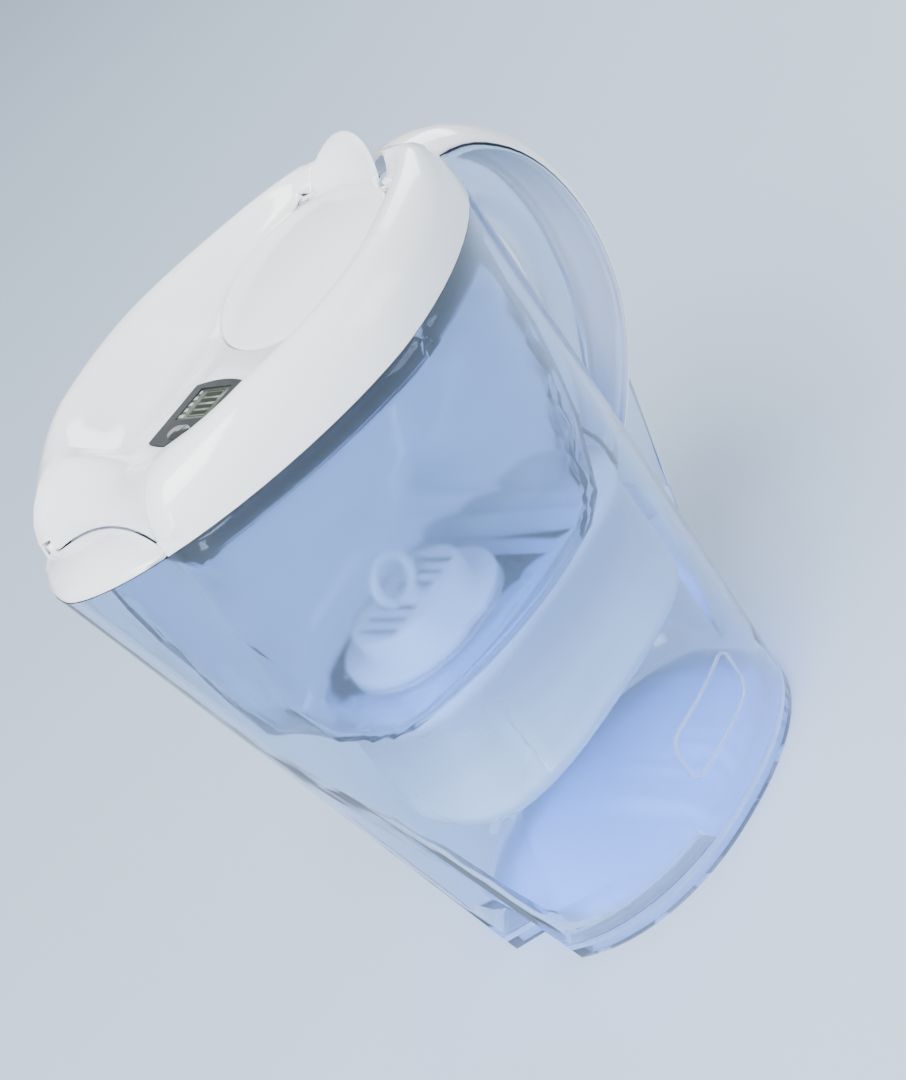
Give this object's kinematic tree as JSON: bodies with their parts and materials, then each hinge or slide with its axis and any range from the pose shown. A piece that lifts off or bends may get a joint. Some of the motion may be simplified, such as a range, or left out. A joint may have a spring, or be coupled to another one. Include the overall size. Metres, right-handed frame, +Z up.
{
  "type": "water filter pitcher with flip lid",
  "caption": "Tall oval water filter pitcher: clear jug with spout and loop handle, drop-in funnel with oval cartridge, and a shouldered lid with flip-up filler cover and spout flap.",
  "frame": {"origin": "on the surface that the pitcher stands on, under the middle of its overall length and width", "axes": "+Z up; -X towards the spout and +X towards the handle; Y across the pitcher, which is the same on both sides"},
  "size_m": [0.269, 0.144, 0.2816],
  "materials": {
    "clear_jug": "clear styrene, polished",
    "foot_rubber": "clear soft ring, satin",
    "handle_clear": "clear plastic with a milky tint, polished",
    "white_gloss": "white, smooth and glossy",
    "funnel_clear": "clear plastic with a pale blue tint",
    "well_milky": "milky translucent plastic",
    "cartridge_white": "white, satin",
    "seal_rubber": "pale grey soft ring",
    "screen_mesh": "fine woven screen",
    "granulate": "dark filter grains mixed with amber resin beads",
    "lid_white": "white, smooth satin gloss",
    "case_white": "white, plain",
    "bezel_grey": "dark grey, satin",
    "lcd": "grey-green display glass with dark segments",
    "strip_rubber": "dark conductive rubber",
    "board_green": "green board with lacquer",
    "cell_steel": "brushed steel",
    "clip_brass": "plated spring strip",
    "button_black": "black soft button"
  },
  "bodies": {
    "jug": {"jug_body": "clear_jug", "foot_ring": "foot_rubber", "handle_grip": "handle_clear", "handle_cover": "white_gloss"},
    "funnel": {"funnel_tank": "funnel_clear", "cartridge_well": "well_milky"},
    "cartridge": {"cartridge_shell": "cartridge_white", "cartridge_cap": "cartridge_white", "cartridge_seal": "seal_rubber", "inlet_screen": "screen_mesh", "outlet_screen": "screen_mesh", "filter_granulate": "granulate"},
    "lid": {"lid_shell": "lid_white", "lid_skirt": "lid_white", "indicator_case": "case_white", "indicator_bezel": "bezel_grey", "lcd_panel": "lcd", "contact_strip": "strip_rubber", "circuit_board": "board_green", "coin_cell": "cell_steel", "cell_clip": "clip_brass", "button_dome": "cell_steel"},
    "flip_lid": {"flip_lid": "lid_white"},
    "spout_flap": {"spout_flap": "lid_white"},
    "start_button": {"start_button": "button_black"}
  },
  "joints": [
    {"name": "funnel_lift", "type": "slide", "parent": "jug", "child": "funnel", "axis": [0, 0, 1], "range_m": [0, 0.2]},
    {"name": "cartridge_lift", "type": "slide", "parent": "funnel", "child": "cartridge", "axis": [0, 0, 1], "range_m": [0, 0.08]},
    {"name": "lid_lift", "type": "slide", "parent": "funnel", "child": "lid", "axis": [0, 0, 1], "range_m": [0, 0.06]},
    {"name": "flip_lid_hinge", "type": "hinge", "parent": "lid", "child": "flip_lid", "pos_m": [0.05029, 0, 0.26301], "axis": [0, 1, 0], "range_deg": [0, 60]},
    {"name": "spout_flap_hinge", "type": "hinge", "parent": "lid", "child": "spout_flap", "pos_m": [-0.108, 0, 0.2492], "axis": [0, 1, 0], "range_deg": [0, 25]},
    {"name": "start_button_press", "type": "slide", "parent": "lid", "child": "start_button", "axis": [0, 0, -1], "range_m": [0, 0.0006], "stiffness_N_per_m": 300}
  ]
}
